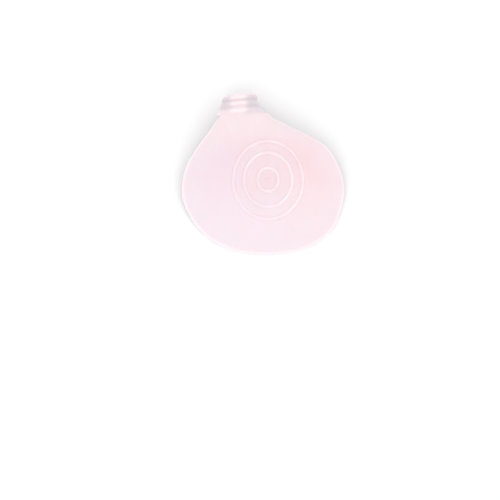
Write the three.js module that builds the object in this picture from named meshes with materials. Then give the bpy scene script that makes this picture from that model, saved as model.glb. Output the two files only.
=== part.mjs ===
import * as THREE from "three";

// A one-piece moulded silicone metatarsal pad with a ribbed loop, the left one of a pair. It lies
// with its ridged side up and the loop under its front edge. It is laid out from the middle of the
// ridges: x runs to the outer side, y to the front, and z up from the surface that it lies on.
// The moulding is a core surface with a wall about it: first the core is meshed, then both faces
// are set off from it, and its free edges are rounded over.

// Pad, in millimetres: a reach runs in plan from the middle of the ridges to the core of the rim,
// or of the loop's rear edge. The middle stands crownRise above the slope from the rear rim to the
// loop, and the crown falls sideFall to the sides. It starts round a flat disc of flatRadius.
const innerReach = 47.4;
const outerReach = 42.1;
const rearReach = 38.9;
const frontReach = 37.2;
const crownRise = 4.8;
const sideFall = 10.5;
const flatRadius = 6.6;
const padWall = 3.4;
const skirtWall = 1.2;
const rimWall = 1.6;
const neckBlend = 12.8;

// Relief on the pad's ridged side
const ridgeRadii = [5.7, 13.1, 18.9];
const ridgeWidth = 2;
const ridgeHeight = 0.6;
const ridgeStretch = 1.1;
const dotRadius = 1.6;
const ridgeMargin = 2.4;

// Loop: slants are degrees that its edges are turned, seen from above and from the side, the
// neck spans degrees from the loop's top, and a cut is the share of the length gone beyond the neck
const loopBore = 15.2;
const loopWall = 1.8;
const loopLength = 11.1;
const loopOffset = 15.6;
const rearSlant = 4.7;
const frontSlant = 7.4;
const edgeLean = 13;
const innerFlare = 3.6;
const outerFlare = 5.9;
const neckInner = 60;
const neckOuter = 78;
const innerCut = 0.08;
const outerCut = 0.38;
const ribHeight = 0.35;

// Meshing: how many pieces each stretch is cut into
const neckSpokes = 11;
const rimSpokes = 52;
const underSteps = 24;
const cutSteps = 3;
const roundSteps = 4;

// Rim stations from the loop's outer corner round the rear to its inner corner. across is a share
// of outerReach, or of innerReach where negative, along is a share of frontReach, or of rearReach
// where negative, and lift is a share of the loop's height above where the rim lies flat.
const rimStations = [
  { across: 0.08, along: 0.95, lift: 0.64 },
  { across: 0.29, along: 0.825, lift: 0.64 },
  { across: 0.52, along: 0.7, lift: 0.56 },
  { across: 0.77, along: 0.54, lift: 0.42 },
  { across: 0.93, along: 0.265, lift: 0.26 },
  { across: 1, along: -0.04, lift: 0.13 },
  { across: 0.97, along: -0.29, lift: 0.07 },
  { across: 0.86, along: -0.61, lift: 0.02 },
  { across: 0.56, along: -0.88, lift: 0 },
  { across: 0.19, along: -0.98, lift: 0 },
  { across: -0.22, along: -0.98, lift: 0 },
  { across: -0.54, along: -0.87, lift: 0 },
  { across: -0.78, along: -0.65, lift: 0.02 },
  { across: -0.95, along: -0.33, lift: 0.09 },
  { across: -1, along: -0.06, lift: 0.17 },
  { across: -0.94, along: 0.285, lift: 0.29 },
  { across: -0.82, along: 0.54, lift: 0.41 },
  { across: -0.66, along: 0.8, lift: 0.55 },
];

// Stations along the loop from its rear edge to its front edge, as shares of its length, with rib
// a share of ribHeight, and stations from the ridges to the rim, as shares of that stretch
const loopStations = [
  { share: 0, rib: 0 },
  { share: 0.1, rib: 1 },
  { share: 0.25, rib: 1 },
  { share: 0.35, rib: 0 },
  { share: 0.42, rib: 0 },
  { share: 0.5, rib: 1 },
  { share: 0.58, rib: 1 },
  { share: 0.67, rib: 0 },
  { share: 0.75, rib: 0 },
  { share: 0.83, rib: 1 },
  { share: 0.91, rib: 1 },
  { share: 1, rib: 0.3 },
];
const skirtShares = [0.2, 0.4, 0.58, 0.74, 0.86, 0.94, 1];

// Where the wall starts to thin, and where the rim's bead starts, as shares of the way to the rim
const thinningShare = 0.2;
const beadShare = 0.9;

const loopRadius = (loopBore + loopWall) / 2;
const loopHeight = loopBore + 2 * loopWall + 2 * ribHeight;
const loopCoreTop = loopHeight / 2 + loopRadius;
const rimCore = rimWall / 2;
const rise = (loopCoreTop - rimCore) / (rearReach + frontReach);
const middleHeight = rimCore + rise * rearReach + crownRise;
const skirtStart = ridgeRadii.at(-1) + ridgeWidth / 2 + ridgeMargin;
const { lerp, smoothstep, degToRad } = THREE.MathUtils;
const innerAngle = degToRad(-neckInner);
const outerAngle = degToRad(neckOuter);

// A point of the loop's core: angle runs from the top to the outer side, and share from its rear
// edge to its front edge. It flares to the rear, quickly on the outer side.
function loopPoint(angle, share) {
  const side = Math.sin(angle);
  const flare = side < 0 ? innerFlare * (1 - share) ** 1.2 : outerFlare * (1 - share) ** 3;
  const radius = loopRadius + flare * side * side;
  const across = radius * side;
  const height = loopHeight / 2 + radius * Math.cos(angle);
  const lean = Math.tan(degToRad(edgeLean)) * (loopCoreTop - height);
  const rear = frontReach + Math.tan(degToRad(rearSlant)) * across;
  const front = frontReach + loopLength + Math.tan(degToRad(frontSlant)) * across;
  return new THREE.Vector3(across - loopOffset, lean + lerp(rear, front, share), height);
}

// The loop's outward normal at its rear edge
function neckNormal(angle) {
  const point = loopPoint(angle, 0);
  const round = loopPoint(angle + 0.01, 0).sub(point);
  const forward = loopPoint(angle, 0.01).sub(point);
  return round.cross(forward).normalize();
}

// The curve of the rim's core, from the loop's outer corner to its inner corner
function rimCurve(outerCorner, innerCorner) {
  const middle = rimStations.map(({ across, along, lift }) => new THREE.Vector3(
    across * (across < 0 ? innerReach : outerReach),
    along * (along < 0 ? rearReach : frontReach),
    rimCore + lift * loopHeight,
  ));
  return new THREE.CatmullRomCurve3([outerCorner, ...middle, innerCorner], false, "centripetal");
}

// The crowned middle of the pad: a flat disc on the slope, with a dome falling away round it
function crownPoint(heading, distance) {
  const across = heading.x / ((innerReach + outerReach) / 2 - flatRadius);
  const along = heading.y / (rearReach - flatRadius);
  const fall = sideFall * across ** 2 + crownRise * along ** 2;
  const x = heading.x * distance;
  const y = heading.y * distance;
  const z = middleHeight + rise * y - fall * Math.max(0, distance - flatRadius) ** 2;
  return new THREE.Vector3(x, y, z);
}

// The direction from one point of the crown outwards
function crownSlope(heading, distance) {
  return crownPoint(heading, distance).sub(crownPoint(heading, distance * 0.98)).normalize();
}

// Spokes run from the middle of the ridges to the loop's rear edge and to the rim. neck says how
// far a spoke belongs to the loop, which its core then meets without a crease.
function makeSpokes() {
  const spokes = [];
  for (let i = 0; i <= neckSpokes; i++) {
    const angle = lerp(innerAngle, outerAngle, i / neckSpokes);
    spokes.push({ end: loopPoint(angle, 0), normal: neckNormal(angle), neck: 1 });
  }
  const curve = rimCurve(spokes[neckSpokes].end, spokes[0].end);
  const length = curve.getLength();
  for (const [i, end] of curve.getSpacedPoints(rimSpokes).slice(1, -1).entries()) {
    const fromOuter = length * (i + 1) / rimSpokes;
    const near = Math.min(fromOuter, length - fromOuter);
    const { normal } = spokes[fromOuter < length / 2 ? neckSpokes : 0];
    spokes.push({ end, normal, neck: 1 - smoothstep(near, 0, neckBlend) });
  }
  for (const spoke of spokes) {
    spoke.reach = Math.hypot(spoke.end.x, spoke.end.y);
    spoke.heading = new THREE.Vector2(spoke.end.x, spoke.end.y).divideScalar(spoke.reach);
    spoke.stretch = 1 / Math.hypot(spoke.heading.x, spoke.heading.y / ridgeStretch);
    spoke.start = crownPoint(spoke.heading, spoke.stretch * skirtStart);
    spoke.leaving = crownSlope(spoke.heading, spoke.stretch * skirtStart);
    const chord = spoke.end.clone().sub(spoke.start).normalize();
    const arriving = chord.multiplyScalar(2 * chord.dot(spoke.leaving)).sub(spoke.leaving);
    const offLoop = arriving.dot(spoke.normal) * spoke.neck;
    spoke.arriving = arriving.addScaledVector(spoke.normal, -offLoop).normalize();
  }
  return spokes;
}

// Stations of the relief, as distances from the middle across the pad, each with its height
function reliefStations() {
  const stations = [{ distance: dotRadius * 0.6, height: ridgeHeight }];
  stations.push({ distance: dotRadius, height: 0 });
  let last = dotRadius;
  for (const radius of ridgeRadii) {
    stations.push({ distance: (last + radius - ridgeWidth / 2) / 2, height: 0 });
    stations.push({ distance: radius - ridgeWidth / 2, height: 0 });
    stations.push({ distance: radius - ridgeWidth / 5, height: ridgeHeight });
    stations.push({ distance: radius + ridgeWidth / 5, height: ridgeHeight });
    stations.push({ distance: radius + ridgeWidth / 2, height: 0 });
    last = radius + ridgeWidth / 2;
  }
  stations.push({ distance: skirtStart, height: 0 });
  return stations;
}

// The core surface: points with a wall and a relief height, and the quads between them
const core = { points: [], walls: [], reliefs: [], quads: [] };

function addPoint(point, wall, relief) {
  core.walls.push(wall);
  core.reliefs.push(relief);
  return core.points.push(point) - 1;
}

// Joins two rows of points, the inner one first, both running clockwise seen from the ridged side
function joinRows(inner, outer) {
  for (let i = 0; i < outer.length; i++) {
    const next = (i + 1) % outer.length;
    core.quads.push([inner[i], inner[next], outer[next], outer[i]]);
  }
}

// The wall at a share of the way from the middle to the rim or the neck
function wallAt(share, neck) {
  const skirt = lerp(skirtWall, loopWall, neck);
  const edge = lerp(rimWall, loopWall, neck);
  const body = lerp(padWall, skirt, smoothstep(share, thinningShare, beadShare));
  return body + (edge - skirt) * smoothstep(share, beadShare, 1);
}

// The pad, ring by ring from the middle to the rim
function meshPad(spokes) {
  const relief = reliefStations();
  const middle = addPoint(new THREE.Vector3(0, 0, middleHeight), padWall, ridgeHeight);
  let row = spokes.map(() => middle);
  for (const { distance, height } of relief) {
    const next = spokes.map((spoke) => {
      const out = spoke.stretch * distance;
      return addPoint(crownPoint(spoke.heading, out), wallAt(out / spoke.reach, spoke.neck), height);
    });
    joinRows(row, next);
    row = next;
  }
  for (const share of skirtShares) {
    const next = spokes.map(({ start, leaving, arriving, end, stretch, reach, neck }) => {
      const handle = start.distanceTo(end) / 3;
      const curve = new THREE.CubicBezierCurve3(
        start,
        start.clone().addScaledVector(leaving, handle),
        end.clone().addScaledVector(arriving, -handle),
        end,
      );
      const out = lerp(stretch * skirtStart, reach, share);
      return addPoint(curve.getPoint(share), wallAt(out / reach, neck), 0);
    });
    joinRows(row, next);
    row = next;
  }
  return row;
}

// The loop, ring by ring from the neck to its front edge. Its first row shares the neck's points.
function meshLoop(neckRow) {
  const columns = neckRow.map((_, i) => {
    const angle = lerp(innerAngle, outerAngle, i / neckSpokes);
    return { angle, cut: 0 };
  });
  for (let i = 1; i < underSteps; i++) {
    const angle = lerp(outerAngle, innerAngle + 2 * Math.PI, i / underSteps);
    const near = Math.min(1, Math.min(i, underSteps - i) / cutSteps);
    const cut = lerp(outerCut, innerCut, i / underSteps);
    columns.push({ angle, cut: cut * Math.sqrt(1 - (1 - near) ** 2) });
  }
  const rows = loopStations.map(({ share, rib }) => columns.map(({ angle, cut }, i) =>
    neckRow[i] !== undefined && share === 0
      ? neckRow[i]
      : addPoint(loopPoint(angle, lerp(cut, 1, share)), loopWall, rib * ribHeight)));
  rows.slice(1).forEach((row, i) => joinRows(rows[i], row));
  return { rear: rows[0], front: rows.at(-1) };
}

// The core's outward normal at each of its points
function coreNormals() {
  const geometry = new THREE.BufferGeometry().setFromPoints(core.points);
  geometry.setIndex(core.quads.flatMap(([a, b, c, d]) => (a === b ? [a, c, d] : [a, b, c, a, c, d])));
  geometry.computeVertexNormals();
  const normals = geometry.getAttribute("normal");
  return core.points.map((_, i) => new THREE.Vector3().fromBufferAttribute(normals, i));
}

// Rounds a free edge over, from the ridged face to the face below, along a closed run of points
function roundOver(run, normals, vertices, triangles) {
  const columns = run.map((id, i) => {
    const along = core.points[run[(i + 1) % run.length]].clone();
    along.sub(core.points[run.at(i - 1)]);
    const outward = normals[id].clone().cross(along).normalize();
    const column = [2 * id];
    for (let step = 1; step < roundSteps; step++) {
      const turn = Math.PI * step / roundSteps;
      const relief = core.reliefs[id] * (1 + Math.cos(turn)) / 2;
      const radius = core.walls[id] / 2;
      const vertex = core.points[id].clone();
      vertex.addScaledVector(normals[id], radius * Math.cos(turn) + relief);
      vertex.addScaledVector(outward, radius * Math.sin(turn));
      column.push(vertices.push(vertex) - 1);
    }
    column.push(2 * id + 1);
    return column;
  });
  columns.forEach((column, i) => {
    const next = columns[(i + 1) % columns.length];
    for (let step = 0; step < roundSteps; step++) {
      triangles.push(column[step], next[step], next[step + 1]);
      triangles.push(column[step], next[step + 1], column[step + 1]);
    }
  });
}

// The whole moulding: point i of the core gives vertex 2i on the ridged side and 2i + 1 below
function makeMoulding() {
  const padEdge = meshPad(makeSpokes());
  const { rear, front } = meshLoop(padEdge.slice(0, neckSpokes + 1));
  const normals = coreNormals();
  const vertices = core.points.flatMap((point, i) => [
    point.clone().addScaledVector(normals[i], core.walls[i] / 2 + core.reliefs[i]),
    point.clone().addScaledVector(normals[i], -core.walls[i] / 2),
  ]);
  const triangles = [];
  for (const [a, b, c, d] of core.quads) {
    triangles.push(2 * a, 2 * c, 2 * d);
    triangles.push(2 * a + 1, 2 * d + 1, 2 * c + 1);
    if (a === b) continue;
    triangles.push(2 * a, 2 * b, 2 * c);
    triangles.push(2 * a + 1, 2 * c + 1, 2 * b + 1);
  }
  const rim = padEdge.slice(neckSpokes);
  const under = rear.slice(neckSpokes + 1).reverse();
  roundOver([...rim, padEdge[0], ...under], normals, vertices, triangles);
  roundOver(front, normals, vertices, triangles);
  const geometry = new THREE.BufferGeometry().setFromPoints(vertices);
  geometry.setIndex(triangles);
  geometry.computeVertexNormals();
  return geometry;
}

// The origin is where the middle of the moulding's box meets the surface that it lies on
function standOnOrigin(geometry) {
  geometry.computeBoundingBox();
  const { min, max } = geometry.boundingBox;
  return geometry.translate(-(min.x + max.x) / 2, -(min.y + max.y) / 2, -min.z);
}

const silicone = new THREE.MeshStandardMaterial({ color: 0xfbe9ee, roughness: 0.38, metalness: 0 });
const pad = new THREE.Mesh(standOnOrigin(makeMoulding()), silicone);
pad.name = "metatarsal_pad";

const model = new THREE.Group();
model.add(pad);
export default model;
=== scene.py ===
import math

import bpy
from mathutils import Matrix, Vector


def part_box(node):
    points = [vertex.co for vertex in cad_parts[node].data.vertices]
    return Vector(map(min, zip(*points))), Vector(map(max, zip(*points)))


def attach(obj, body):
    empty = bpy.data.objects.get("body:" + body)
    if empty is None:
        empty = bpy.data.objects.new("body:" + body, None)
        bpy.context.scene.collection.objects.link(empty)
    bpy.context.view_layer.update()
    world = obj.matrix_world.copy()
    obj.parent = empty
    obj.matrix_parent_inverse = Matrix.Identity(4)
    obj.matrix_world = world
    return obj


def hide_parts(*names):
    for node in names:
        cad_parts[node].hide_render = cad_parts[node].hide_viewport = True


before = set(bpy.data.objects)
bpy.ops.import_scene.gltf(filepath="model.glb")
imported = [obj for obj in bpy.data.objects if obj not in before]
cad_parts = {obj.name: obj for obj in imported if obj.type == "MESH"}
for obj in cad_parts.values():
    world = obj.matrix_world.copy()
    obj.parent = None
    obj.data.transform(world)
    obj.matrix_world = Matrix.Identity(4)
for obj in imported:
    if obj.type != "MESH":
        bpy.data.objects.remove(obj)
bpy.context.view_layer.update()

# Silicone pad, core surface: the pad and its loop are cast in one mould from soft, milky silicone.
# The pad is a low dome that runs out to a thin rim, and its front rises into the loop. It is laid
# out from the middle of the ridges: x to the outer side, y to the front, z up.
inner_reach = 0.0474
outer_reach = 0.0421
rear_reach = 0.0389
front_reach = 0.0372
crown_rise = 0.0048
side_fall = 0.0105
flat_radius = 0.0066
pad_wall = 0.0034
skirt_wall = 0.0012
rim_wall = 0.0016
neck_blend = 0.0128
ridge_radii = (0.0057, 0.0131, 0.0189)
ridge_width = 0.002
ridge_stretch = 1.1
ridge_margin = 0.0024
loop_bore = 0.0152
loop_wall = 0.0018
loop_length = 0.0111
loop_offset = 0.0156
rib_height = 0.00035
rear_slant = math.radians(4.7)
front_slant = math.radians(7.4)
edge_lean = math.radians(13)
inner_flare = 0.0036
outer_flare = 0.0059
inner_flare_power = 1.2
outer_flare_power = 3
neck_inner = math.radians(-60)
neck_outer = math.radians(78)
inner_cut = 0.08
outer_cut = 0.38
thinning_share = 0.2
bead_share = 0.9

# Meshing: how many pieces each stretch of the core is cut into, and the steps across the relief
neck_spokes = 44
rim_spokes = 208
under_steps = 96
cut_steps = 12
loop_steps = 56
round_steps = 10
knot_steps = 40
skirt_steps = 26
bead_stations = (0.91, 0.94, 0.965, 0.985, 1)
dot_steps = 8
dot_step = 0.0002
ridge_steps = 14
ridge_overlap = 0.6
gap_step = 0.0008
margin_steps = 3

# Rim stations from the loop's outer corner round the rear to its inner corner: shares of the reach
# across and along, and of the loop's height above where the rim lies flat
rim_stations = (
    (0.08, 0.95, 0.64), (0.29, 0.825, 0.64), (0.52, 0.7, 0.56), (0.77, 0.54, 0.42),
    (0.93, 0.265, 0.26), (1, -0.04, 0.13), (0.97, -0.29, 0.07), (0.86, -0.61, 0.02),
    (0.56, -0.88, 0), (0.19, -0.98, 0), (-0.22, -0.98, 0), (-0.54, -0.87, 0),
    (-0.78, -0.65, 0.02), (-0.95, -0.33, 0.09), (-1, -0.06, 0.17), (-0.94, 0.285, 0.29),
    (-0.82, 0.54, 0.41), (-0.66, 0.8, 0.55),
)

loop_radius = (loop_bore + loop_wall) / 2
loop_height = loop_bore + 2 * loop_wall + 2 * rib_height
loop_core_top = loop_height / 2 + loop_radius
rim_core = rim_wall / 2
rise = (loop_core_top - rim_core) / (rear_reach + front_reach)
middle_height = rim_core + rise * rear_reach + crown_rise
skirt_start = ridge_radii[-1] + ridge_width / 2 + ridge_margin


def lerp(start, end, share):
    return start + (end - start) * share


def smoothstep(value, low, high):
    share = min(1, max(0, (value - low) / (high - low)))
    return share * share * (3 - 2 * share)


def loop_point(angle, share):
    """A point of the loop's core, by the angle from its top and the share of its length."""
    side = math.sin(angle)
    if side < 0:
        flare = inner_flare * (1 - share) ** inner_flare_power
    else:
        flare = outer_flare * (1 - share) ** outer_flare_power
    radius = loop_radius + flare * side * side
    across = radius * side
    height = loop_height / 2 + radius * math.cos(angle)
    lean = math.tan(edge_lean) * (loop_core_top - height)
    rear = front_reach + math.tan(rear_slant) * across
    front = front_reach + loop_length + math.tan(front_slant) * across
    return Vector((across - loop_offset, lean + lerp(rear, front, share), height))


def neck_normal(angle, nudge=0.01):
    """The loop's outward direction at its rear edge."""
    point = loop_point(angle, 0)
    around = loop_point(angle + nudge, 0) - point
    forward = loop_point(angle, nudge) - point
    return around.cross(forward).normalized()


def crown_point(heading, distance):
    """A point of the pad's middle: a flat disc on the slope, with a dome falling away round it."""
    across = heading.x / ((inner_reach + outer_reach) / 2 - flat_radius)
    along = heading.y / (rear_reach - flat_radius)
    fall = side_fall * across ** 2 + crown_rise * along ** 2
    x, y = heading * distance
    return Vector((x, y, middle_height + rise * y - fall * max(0, distance - flat_radius) ** 2))


def crown_slope(heading, distance, nudge=0.02):
    """The direction in which the crown runs outwards, just short of a distance."""
    before = crown_point(heading, distance * (1 - nudge))
    return (crown_point(heading, distance) - before).normalized()


def spaced_along(knots, count):
    """count + 1 evenly spaced points of a smooth curve through the knots, and its length."""
    run = [2 * knots[0] - knots[1], *knots, 2 * knots[-1] - knots[-2]]
    fine = []
    for before, start, end, after in zip(run, run[1:], run[2:], run[3:]):
        step_in = math.sqrt((start - before).length)
        step = math.sqrt((end - start).length)
        step_out = math.sqrt((after - end).length)
        chord = (end - start) / step
        leave = ((start - before) / step_in - (end - before) / (step_in + step) + chord) * step
        arrive = (chord - (after - start) / (step + step_out) + (after - end) / step_out) * step
        bend = 3 * (end - start) - 2 * leave - arrive
        twist = 2 * (start - end) + leave + arrive
        for i in range(knot_steps):
            t = i / knot_steps
            fine.append(start + leave * t + bend * t ** 2 + twist * t ** 3)
    fine.append(knots[-1])
    lengths = [0.0]
    for a, b in zip(fine, fine[1:]):
        lengths.append(lengths[-1] + (b - a).length)
    points = []
    at = 0
    for i in range(count + 1):
        wanted = lengths[-1] * i / count
        while at < len(fine) - 2 and lengths[at + 1] < wanted:
            at += 1
        share = (wanted - lengths[at]) / (lengths[at + 1] - lengths[at])
        points.append(fine[at].lerp(fine[at + 1], share))
    return points, lengths[-1]


def make_spokes():
    """Spokes from the middle of the ridges to the loop's rear edge, then on round the rim. neck
    says how far a spoke belongs to the loop, which its core then meets without a crease."""
    spokes = []
    for i in range(neck_spokes + 1):
        angle = lerp(neck_inner, neck_outer, i / neck_spokes)
        spokes.append({"end": loop_point(angle, 0), "normal": neck_normal(angle), "neck": 1})
    knots = [
        Vector((
            across * (inner_reach if across < 0 else outer_reach),
            along * (rear_reach if along < 0 else front_reach),
            rim_core + lift * loop_height,
        ))
        for across, along, lift in rim_stations
    ]
    rim, length = spaced_along([spokes[-1]["end"], *knots, spokes[0]["end"]], rim_spokes)
    corners = spokes[-1]["normal"], spokes[0]["normal"]
    for i in range(1, rim_spokes):
        done = length * i / rim_spokes
        neck = 1 - smoothstep(min(done, length - done), 0, neck_blend)
        spokes.append({"end": rim[i], "normal": corners[done > length / 2], "neck": neck})
    for spoke in spokes:
        end, normal = spoke["end"], spoke["normal"]
        heading = end.xy.normalized()
        stretch = 1 / math.hypot(heading.x, heading.y / ridge_stretch)
        start = crown_point(heading, stretch * skirt_start)
        leaving = crown_slope(heading, stretch * skirt_start)
        chord = (end - start).normalized()
        arriving = chord * (2 * chord.dot(leaving)) - leaving
        arriving -= normal * (arriving.dot(normal) * spoke["neck"])
        arriving.normalize()
        handle = (end - start).length / 3
        spoke.update(
            heading=heading, stretch=stretch, reach=end.xy.length,
            skirt=(start, start + leaving * handle, end - arriving * handle, end),
        )
    return spokes


def crown_stations():
    """Distances from the middle, close together where the dot and the ridges stand up."""
    stations = [dot_step * i for i in range(1, dot_steps + 1)]
    for radius in ridge_radii:
        low, high = radius - ridge_overlap * ridge_width, radius + ridge_overlap * ridge_width
        gap = low - stations[-1]
        steps = max(2, round(gap / gap_step))
        stations += [stations[-1] + gap * i / steps for i in range(1, steps)]
        stations += [lerp(low, high, i / ridge_steps) for i in range(ridge_steps + 1)]
    gap = skirt_start - stations[-1]
    return stations + [stations[-1] + gap * i / margin_steps for i in range(1, margin_steps + 1)]


def wall_at(share, neck):
    """The wall at a share of the way from the middle to the rim or the neck."""
    skirt = lerp(skirt_wall, loop_wall, neck)
    edge = lerp(rim_wall, loop_wall, neck)
    body = lerp(pad_wall, skirt, smoothstep(share, thinning_share, bead_share))
    return body + (edge - skirt) * smoothstep(share, bead_share, 1)


core_points, core_walls, core_marks, core_faces = [], [], [], []


def add_point(point, wall, from_middle, from_edge, along_loop):
    core_points.append(point)
    core_walls.append(wall)
    core_marks.append((from_middle, from_edge, along_loop))
    return len(core_points) - 1


def join_rows(inner, outer):
    for i in range(len(outer)):
        after = (i + 1) % len(outer)
        ring = [inner[i], inner[after], outer[after], outer[i]]
        core_faces.append(ring if ring[0] != ring[1] else ring[1:])


def edge_marks(spoke, out, least_free=0.01, off_loop=3):
    """How far a point lies from the free edge, and its place along the loop in loop lengths, below
    nought behind it. No edge is free at the neck, so the first is large there, and the second falls
    further below nought away from it."""
    rest = spoke["reach"] - out
    free = 1 - spoke["neck"]
    from_edge = rest / max(least_free, free) + least_free * (free == 0)
    return from_edge, -rest / loop_length - off_loop * free


# Pad core, ring by ring from the middle to the rim
far_off = 1.0
spokes = make_spokes()
row = [add_point(Vector((0, 0, middle_height)), pad_wall, 0, far_off, -far_off)] * len(spokes)
for distance in crown_stations():
    ring = []
    for spoke in spokes:
        out = spoke["stretch"] * distance
        wall = wall_at(out / spoke["reach"], spoke["neck"])
        from_edge, behind = edge_marks(spoke, out)
        point = crown_point(spoke["heading"], out)
        ring.append(add_point(point, wall, distance, from_edge, behind))
    join_rows(row, ring)
    row = ring
plain_shares = [i / skirt_steps for i in range(1, skirt_steps) if i / skirt_steps < bead_share]
for share in (*plain_shares, *bead_stations):
    ring = []
    for spoke in spokes:
        start, first, second, end = spoke["skirt"]
        rest = 1 - share
        point = (start * rest ** 3 + first * (3 * rest ** 2 * share)
                 + second * (3 * rest * share ** 2) + end * share ** 3)
        out = lerp(spoke["stretch"] * skirt_start, spoke["reach"], share)
        wall = wall_at(out / spoke["reach"], spoke["neck"])
        from_edge, behind = edge_marks(spoke, out)
        ring.append(add_point(point, wall, out / spoke["stretch"], from_edge, behind))
    join_rows(row, ring)
    row = ring
pad_edge = row

# Loop core, ring by ring from the neck, whose points it shares, to its front edge
columns = [(lerp(neck_inner, neck_outer, i / neck_spokes), 0) for i in range(neck_spokes + 1)]
for i in range(1, under_steps):
    angle = lerp(neck_outer, neck_inner + 2 * math.pi, i / under_steps)
    near = min(1, i / cut_steps, (under_steps - i) / cut_steps)
    cut = lerp(outer_cut, inner_cut, i / under_steps) * math.sqrt(1 - (1 - near) ** 2)
    columns.append((angle, cut))
loop_rows = []
for step in range(loop_steps + 1):
    ring = []
    for i, (angle, cut) in enumerate(columns):
        if step == 0 and i <= neck_spokes:
            ring.append(pad_edge[i])
            continue
        along = lerp(cut, 1, step / loop_steps)
        from_edge = (1 - along) * loop_length
        if i > neck_spokes:
            from_edge = min(from_edge, (along - cut) * loop_length)
        ring.append(add_point(loop_point(angle, along), loop_wall, far_off, from_edge, along))
    loop_rows.append(ring)
for inner, outer in zip(loop_rows, loop_rows[1:]):
    join_rows(inner, outer)

# Silicone pad, walls: both faces are set off from the core by half the wall, and every free edge
# is rounded over, as the mould leaves it
core = bpy.data.meshes.new("pad_core")
core.from_pydata(core_points, [], core_faces)
core_normals = [vertex.normal.copy() for vertex in core.vertices]
bpy.data.meshes.remove(core)
vertices, marks = [], []
for point, wall, mark, normal in zip(core_points, core_walls, core_marks, core_normals):
    vertices += [point + normal * (wall / 2), point - normal * (wall / 2)]
    marks += [(*mark, 1.0), (*mark, 0.0)]
faces = []
for face in core_faces:
    faces.append([2 * i for i in face])
    faces.append([2 * i + 1 for i in reversed(face)])


def round_over(run):
    """Rounds a free edge over, from the ridged face to the face below, along a closed run."""
    edge_columns = []
    for i, at in enumerate(run):
        along = core_points[run[(i + 1) % len(run)]] - core_points[run[i - 1]]
        normal = core_normals[at]
        outward = normal.cross(along).normalized()
        column = [2 * at]
        for step in range(1, round_steps):
            turn = math.pi * step / round_steps
            offset = (normal * math.cos(turn) + outward * math.sin(turn)) * (core_walls[at] / 2)
            column.append(len(vertices))
            vertices.append(core_points[at] + offset)
            marks.append((*core_marks[at], (1 + math.cos(turn)) / 2))
        edge_columns.append(column + [2 * at + 1])
    for i, column in enumerate(edge_columns):
        after = edge_columns[(i + 1) % len(edge_columns)]
        for step in range(round_steps):
            faces.append([column[step], after[step], after[step + 1], column[step + 1]])


under_edge = loop_rows[0][neck_spokes + 1:]
round_over([*pad_edge[neck_spokes:], pad_edge[0], *reversed(under_edge)])
round_over(loop_rows[-1])

cad_low, cad_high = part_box("metatarsal_pad")
lows = [min(v[k] for v in vertices) for k in range(3)]
highs = [max(v[k] for v in vertices) for k in range(3)]
shift = Vector((
    (cad_low.x + cad_high.x - lows[0] - highs[0]) / 2,
    (cad_low.y + cad_high.y - lows[1] - highs[1]) / 2,
    cad_low.z - lows[2],
))
blank_mesh = bpy.data.meshes.new("pad_blank")
blank_mesh.from_pydata([v + shift for v in vertices], [], faces)
for k, mark in enumerate(("from_middle", "from_edge", "along_loop", "ridged_side")):
    attribute = blank_mesh.attributes.new(mark, "FLOAT", "POINT")
    attribute.data.foreach_set("value", [values[k] for values in marks])
blank = bpy.data.objects.new("pad_blank", blank_mesh)
bpy.context.collection.objects.link(blank)

# Silicone pad, relief: three rounded concentric ridges and a dot on the pad, and three low ribs
# round the loop, all raised in the mould. A Geometry Nodes tree lifts them from the plain wall.
ridge_height = 0.0006
dot_radius = 0.0017
rib_centres = (0.14, 0.53, 0.87)
rib_width = 0.27
flat_top_share = 0.3


def wire(tree, source, target):
    tree.links.new(source, target)


def add_node(tree, kind, settings=None, **inputs):
    """A node with its settings, and its inputs by name, or by number after an underscore: each is
    a value, or a socket to join."""
    node = tree.nodes.new(kind)
    for key, value in (settings or {}).items():
        setattr(node, key, value)
    for key, value in inputs.items():
        socket = node.inputs[int(key[1:])] if key[0] == "_" else node.inputs[key.replace("_", " ")]
        if isinstance(value, bpy.types.NodeSocket):
            wire(tree, value, socket)
        else:
            socket.default_value = value
    return node


def math_node(tree, operation, first, second=0.0):
    return add_node(tree, "ShaderNodeMath", {"operation": operation}, _0=first, _1=second).outputs[0]


relief_tree = bpy.data.node_groups.new("Moulded relief", "GeometryNodeTree")
relief_inputs = {
    "Inner ridge": ridge_radii[0],
    "Middle ridge": ridge_radii[1],
    "Outer ridge": ridge_radii[2],
    "Ridge width": ridge_width,
    "Ridge height": ridge_height,
    "Dot radius": dot_radius,
    "Rear rib": rib_centres[0],
    "Middle rib": rib_centres[1],
    "Front rib": rib_centres[2],
    "Rib width": rib_width,
    "Rib height": rib_height,
}
interface = relief_tree.interface
interface.new_socket("Geometry", in_out="INPUT", socket_type="NodeSocketGeometry")
relief_sockets = {
    name: interface.new_socket(name, in_out="INPUT", socket_type="NodeSocketFloat")
    for name in relief_inputs
}
relief_sockets["Silicone"] = interface.new_socket(
    "Silicone", in_out="INPUT", socket_type="NodeSocketMaterial")
interface.new_socket("Geometry", in_out="OUTPUT", socket_type="NodeSocketGeometry")
given = relief_tree.nodes.new("NodeGroupInput").outputs


def mark_field(name):
    return add_node(relief_tree, "GeometryNodeInputNamedAttribute", Name=name).outputs["Attribute"]


def rise_over(distance, half_width, height):
    """A rounded rise: full height where distance is nought, and none from half_width on."""
    share = math_node(relief_tree, "DIVIDE", distance, half_width)
    return add_node(
        relief_tree, "ShaderNodeMapRange", {"interpolation_type": "SMOOTHSTEP"},
        Value=share, From_Min=flat_top_share, From_Max=1.0, To_Min=height, To_Max=0.0,
    ).outputs["Result"]


def distance_from(place, centre):
    return math_node(relief_tree, "ABSOLUTE", math_node(relief_tree, "SUBTRACT", place, centre))


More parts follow.
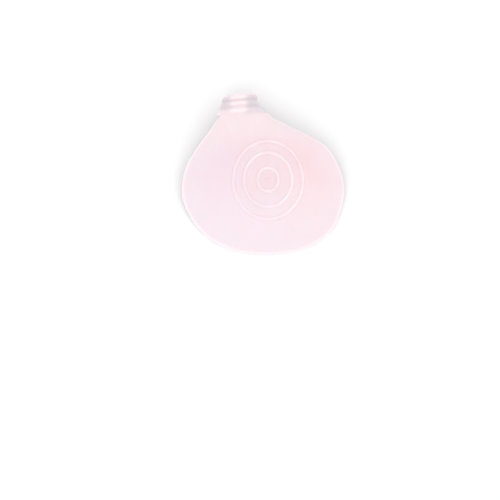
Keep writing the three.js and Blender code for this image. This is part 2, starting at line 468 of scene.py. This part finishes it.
from_middle = mark_field("from_middle")
along_loop = mark_field("along_loop")
half_ridge = math_node(relief_tree, "MULTIPLY", given["Ridge width"], 0.5)
half_rib = math_node(relief_tree, "MULTIPLY", given["Rib width"], 0.5)
lift = rise_over(from_middle, given["Dot radius"], given["Ridge height"])
for name in ("Inner ridge", "Middle ridge", "Outer ridge"):
    ridge = rise_over(distance_from(from_middle, given[name]), half_ridge, given["Ridge height"])
    lift = math_node(relief_tree, "ADD", lift, ridge)
for name in ("Rear rib", "Middle rib", "Front rib"):
    rib = rise_over(distance_from(along_loop, given[name]), half_rib, given["Rib height"])
    lift = math_node(relief_tree, "ADD", lift, rib)
lift = math_node(relief_tree, "MULTIPLY", lift, mark_field("ridged_side"))
relief_share = math_node(relief_tree, "DIVIDE", lift, given["Ridge height"])
marked = add_node(
    relief_tree, "GeometryNodeStoreNamedAttribute", {"data_type": "FLOAT", "domain": "POINT"},
    Geometry=given["Geometry"], Name="relief", Value=relief_share)
normal = relief_tree.nodes.new("GeometryNodeInputNormal").outputs["Normal"]
offset = add_node(
    relief_tree, "ShaderNodeVectorMath", {"operation": "SCALE"}, _0=normal, Scale=lift)
raised = add_node(
    relief_tree, "GeometryNodeSetPosition", Geometry=marked.outputs[0], Offset=offset.outputs[0])
smooth = add_node(relief_tree, "GeometryNodeSetShadeSmooth", Geometry=raised.outputs[0])
realized = add_node(relief_tree, "GeometryNodeRealizeInstances", Geometry=smooth.outputs[0])
finished = add_node(
    relief_tree, "GeometryNodeSetMaterial", Geometry=realized.outputs[0], Material=given["Silicone"])
relief_output = relief_tree.nodes.new("NodeGroupOutput")
wire(relief_tree, finished.outputs[0], relief_output.inputs[0])

# Silicone: milky, faintly pink and translucent, with a satin surface. It is pinker where it is
# thick and whiter where it is thin at the rim. Painted highlights whiten the ridges, the ribs, the
# rim's bead and the neck, painted light pales the rear, and painted shade greys the loop's sides.
# It is cloudy in places, and carries fine specks and smudges.
cool_tint = (0.850, 0.7124, 0.7752, 1)
warm_tint = (0.862, 0.682, 0.708, 1)
thick_tint = (0.850, 0.690, 0.732, 1)
# Pale where the silicone is thin at the rim; also the colour of the painted light on the rear
thin_pale_and_rear_light_tint = (0.862, 0.757, 0.798, 1)
# Painted highlight at the neck
neck_highlight_tint = (0.865, 0.750, 0.770, 1)
cloud_tint = (0.858, 0.768, 0.812, 1)
loop_tint = (0.800, 0.695, 0.715, 1)
# Painted shade down the loop's sides
loop_side_shade_tint = (0.690, 0.620, 0.665, 1)
dot_tint = (0.870, 0.655, 0.700, 1)
# Painted highlights on the ridges, the ribs and the rim's bead
highlight_tint = (0.930, 0.840, 0.860, 1)
speck_tint = (0.620, 0.500, 0.520, 1)

# The most that each tint covers
thick_most = 0.55
thin_most = 0.55
rear_light_most = 0.9
neck_highlight_most = 0.95
cloud_most = 0.3
dot_most = 0.75
ridge_highlight_most = 0.42
rib_highlight_most = 0.7
rim_highlight_most = 0.6
speck_most = 0.16

# Where tints fade, in metres: across the pad, along it, aslant over it, out from its middle, in
# from its free edge, and across the loop from its own middle
across_span = (-0.045, 0.045)
outer_span = (0.0, 0.04)
neck_span = (-0.004, 0.02)
rear_span = (-0.04, 0.003)
front_span = (0.004, 0.024)
slant_span = (-0.022, -0.006)
dot_span = (0.0009, 0.0024)
ridges_span = (0.003, 0.0042)
thick_span = (0.009, 0.016)
bead_span = (0.0004, 0.0016)
thin_span = (0.001, 0.016)
inner_side_span = (-0.0025, -0.008)
outer_side_span = (0.001, 0.0065)
loop_turn_span = (-0.004, 0.004)

# Where tints fade along the loop, in shares of its length from its rear edge, and on the relief, in
# shares of a ridge's height
loop_start_span = (-0.2, 0.0)
loop_body_span = (0.1, 0.7)
loop_end_span = (0.9, 1.0)
inner_tone_start, outer_tone_start = -0.1, -0.35
tone_length = 0.7
crest_span = (0.03, 0.45)

# Patterns: scales of their noise, and where the noise turns into cloud, smudge or speck
cloud_scale, smudge_scale, grain_scale, speck_scale = 55.0, 120.0, 1400.0, 420.0
cloud_span = (0.35, 0.65)
ridge_cloud_span = (0.38, 0.55)
smudge_span = (0.3, 0.7)
speck_chance_span = (0.8, 1.0)
speck_depth_span = (0.0, 0.08)
largest_speck = 0.18
smooth_roughness, smudged_roughness = 0.36, 0.46

silicone = bpy.data.materials.new("milky_silicone")
silicone.use_nodes = True
silicone_tree = silicone.node_tree
silicone_tree.nodes.clear()


def mix_colors(factor, first, second):
    return add_node(
        silicone_tree, "ShaderNodeMix", {"data_type": "RGBA"}, _0=factor, _6=first, _7=second,
    ).outputs[2]


def faded(value, span, before=0.0, after=1.0):
    """before up to the span, after past it, and a smooth change within it."""
    return add_node(
        silicone_tree, "ShaderNodeMapRange", {"interpolation_type": "SMOOTHSTEP"},
        Value=value, From_Min=span[0], From_Max=span[1], To_Min=before, To_Max=after,
    ).outputs["Result"]


def combined(operation, first, *others):
    for other in others:
        first = math_node(silicone_tree, operation, first, other)
    return first


def mark_value(name):
    return add_node(silicone_tree, "ShaderNodeAttribute", {"attribute_name": name}).outputs["Fac"]


def noise_value(scale, detail, roughness):
    return add_node(
        silicone_tree, "ShaderNodeTexNoise",
        Vector=place, Scale=scale, Detail=detail, Roughness=roughness,
    ).outputs["Fac"]


place = silicone_tree.nodes.new("ShaderNodeTexCoord").outputs["Object"]
axes = add_node(silicone_tree, "ShaderNodeSeparateXYZ", Vector=place).outputs
middle_mark = mark_value("from_middle")
edge_mark = mark_value("from_edge")
along_mark = mark_value("along_loop")
clouds = noise_value(cloud_scale, 3.0, 0.5)

# Tints of the pad, with painted light pale at its rear and a painted highlight at its neck
color = mix_colors(faded(axes["X"], across_span), cool_tint, warm_tint)
color = mix_colors(faded(middle_mark, thick_span, thick_most, 0.0), color, thick_tint)
color = mix_colors(faded(edge_mark, thin_span, thin_most, 0.0), color, thin_pale_and_rear_light_tint)
# Painted light: the rear of the pad is painted paler, less so on the outer side
rear_painted_light = combined(
    "MULTIPLY", faded(axes["Y"], rear_span, rear_light_most, 0.0), faded(axes["X"], outer_span, 1.0, 0.6))
color = mix_colors(rear_painted_light, color, thin_pale_and_rear_light_tint)
# Painted highlight: the front of the pad is painted paler towards the neck, most on the inner side
neck_highlight_share = combined(
    "MULTIPLY", faded(axes["Y"], front_span), faded(axes["X"], neck_span, neck_highlight_most, 0.2))
color = mix_colors(neck_highlight_share, color, neck_highlight_tint)
cloud_share = combined("MULTIPLY", faded(clouds, cloud_span), cloud_most)
color = mix_colors(cloud_share, color, cloud_tint)

# Tints of the loop, with painted shade greying it down both sides, from further back on the outer
# side
across_loop = combined("SUBTRACT", axes["X"], shift.x - loop_offset)
loop_side = combined(
    "MAXIMUM", faded(across_loop, inner_side_span), faded(across_loop, outer_side_span))
tone_start = faded(across_loop, loop_turn_span, inner_tone_start, outer_tone_start)
tone_span = (tone_start, combined("ADD", tone_start, tone_length))
loop_side_shade = combined(
    "MULTIPLY", loop_side, faded(along_mark, tone_span), faded(along_mark, loop_end_span, 1.0, 0.75))
color = mix_colors(faded(along_mark, loop_body_span), color, loop_tint)
color = mix_colors(loop_side_shade, color, loop_side_shade_tint)

# The dot is pinker. Painted highlights whiten the ridges, the ribs and the rim's bead, the ridges
# unevenly: fainter towards the lower left, and patchy with the clouds
color = mix_colors(faded(middle_mark, dot_span, dot_most, 0.0), color, dot_tint)
slant = combined("ADD", axes["X"], axes["Y"])
# Painted highlight on the ridges, fainter towards the lower left
ridge_highlight = combined(
    "MULTIPLY", faded(slant, slant_span, 0.05, ridge_highlight_most), faded(middle_mark, ridges_span),
    faded(clouds, ridge_cloud_span, 0.3, 1.0), faded(along_mark, loop_start_span, 1.0, 0.0))
# Painted highlight along the ribs' crests, strongest on the middle of the loop and faint down its
# sides
rib_highlight = combined(
    "MULTIPLY", faded(loop_side, (0.1, 0.9), rib_highlight_most, 0.12), faded(along_mark, loop_start_span))
crest_highlight = combined(
    "MULTIPLY", faded(mark_value("relief"), crest_span), combined("ADD", ridge_highlight, rib_highlight))
# Painted highlight along the rim's bead
rim_highlight = faded(edge_mark, bead_span, rim_highlight_most, 0.0)
color = mix_colors(combined("MAXIMUM", crest_highlight, rim_highlight), color, highlight_tint)

# Specks, few and of many sizes, smudges in the gloss, and a fine grain
specks = add_node(silicone_tree, "ShaderNodeTexVoronoi", Vector=place, Scale=speck_scale).outputs
speck_chance = add_node(silicone_tree, "ShaderNodeSeparateXYZ", Vector=specks["Color"]).outputs[0]
speck_size = faded(speck_chance, speck_chance_span, 0.0, largest_speck)
speck_depth = combined("SUBTRACT", speck_size, specks["Distance"])
color = mix_colors(faded(speck_depth, speck_depth_span, 0.0, speck_most), color, speck_tint)
smudges = noise_value(smudge_scale, 4.0, 0.6)
roughness = faded(smudges, smudge_span, smooth_roughness, smudged_roughness)
grain = noise_value(grain_scale, 2.0, 0.5)
bump = add_node(silicone_tree, "ShaderNodeBump", Strength=0.08, Distance=0.00005, Height=grain)
shader = add_node(
    silicone_tree, "ShaderNodeBsdfPrincipled",
    Base_Color=color, Roughness=roughness, Normal=bump.outputs["Normal"], IOR=1.41,
    Subsurface_Weight=0.75, Subsurface_Radius=(1.0, 0.72, 0.78), Subsurface_Scale=0.0015)
surface = silicone_tree.nodes.new("ShaderNodeOutputMaterial")
wire(silicone_tree, shader.outputs[0], surface.inputs["Surface"])

# Silicone pad, finished piece: the relief is applied, and the one moulding takes the place of the
# plain solid
relief_modifier = blank.modifiers.new("relief", "NODES")
relief_modifier.node_group = relief_tree
for name, value in {**relief_inputs, "Silicone": silicone}.items():
    relief_modifier[relief_sockets[name].identifier] = value
graph = bpy.context.evaluated_depsgraph_get()
pad_mesh = bpy.data.meshes.new_from_object(blank.evaluated_get(graph))
pad_mesh.name = "silicone_pad"
blank.modifiers.remove(relief_modifier)
bpy.data.objects.remove(blank)
silicone_pad = bpy.data.objects.new("silicone_pad", pad_mesh)
bpy.context.collection.objects.link(silicone_pad)
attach(silicone_pad, "root")
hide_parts("metatarsal_pad")

# Floor: a plain white sheet that the pad lies on, matt, and wide enough to fill low views right to
# the horizon
floor_half = 12.0
floor_mesh = bpy.data.meshes.new("floor")
floor_mesh.from_pydata(
    [(-floor_half, -floor_half, 0), (floor_half, -floor_half, 0),
     (floor_half, floor_half, 0), (-floor_half, floor_half, 0)],
    [], [(0, 1, 2, 3)])
floor_white = bpy.data.materials.new("floor_white")
floor_white.use_nodes = True
floor_shader = floor_white.node_tree.nodes["Principled BSDF"]
floor_shader.inputs["Base Color"].default_value = (0.95, 0.95, 0.95, 1)
floor_shader.inputs["Roughness"].default_value = 0.9
floor_mesh.materials.append(floor_white)
floor = bpy.data.objects.new("floor", floor_mesh)
bpy.context.collection.objects.link(floor)

# Light: an even white surround, and two weak, broad lamps above and behind the pad, one towards
# each side, which shape the dome and the ridges a little
lamp_spread = math.radians(35)
surround = bpy.data.worlds.new("surround")
surround.use_nodes = True
surround.node_tree.nodes["Background"].inputs["Color"].default_value = (1, 1, 1, 1)
surround.node_tree.nodes["Background"].inputs["Strength"].default_value = 1.0
bpy.context.scene.world = surround
for name, strength, spot in (
    ("key", 0.27, Vector((-0.3, -0.5, 0.7))),
    ("fill", 0.22, Vector((0.55, -0.25, 0.7))),
):
    lamp = bpy.data.lights.new(name, "SUN")
    lamp.angle = lamp_spread
    lamp.energy = strength
    stand = bpy.data.objects.new(name, lamp)
    stand.location = spot
    stand.rotation_euler = (-spot).to_track_quat("-Z", "Y").to_euler()
    bpy.context.collection.objects.link(stand)
bpy.context.scene.view_settings.view_transform = "Standard"

# Camera: square to the ridged face, at the photograph's angle, distance and framing. The middle of
# the picture lies just inside the pad's rear rim.
view_elevation = math.radians(77)
view_distance = 0.65
picture_middle = Vector((-0.007297, -0.045048, 0.007064))
to_camera = Vector((0, -math.cos(view_elevation), math.sin(view_elevation)))
camera_data = bpy.data.cameras.new("camera")
camera_data.lens = 85
camera = bpy.data.objects.new("camera", camera_data)
camera.location = picture_middle + to_camera * view_distance
camera.rotation_euler = (math.pi / 2 - view_elevation, 0, 0)
bpy.context.collection.objects.link(camera)
bpy.context.scene.camera = camera
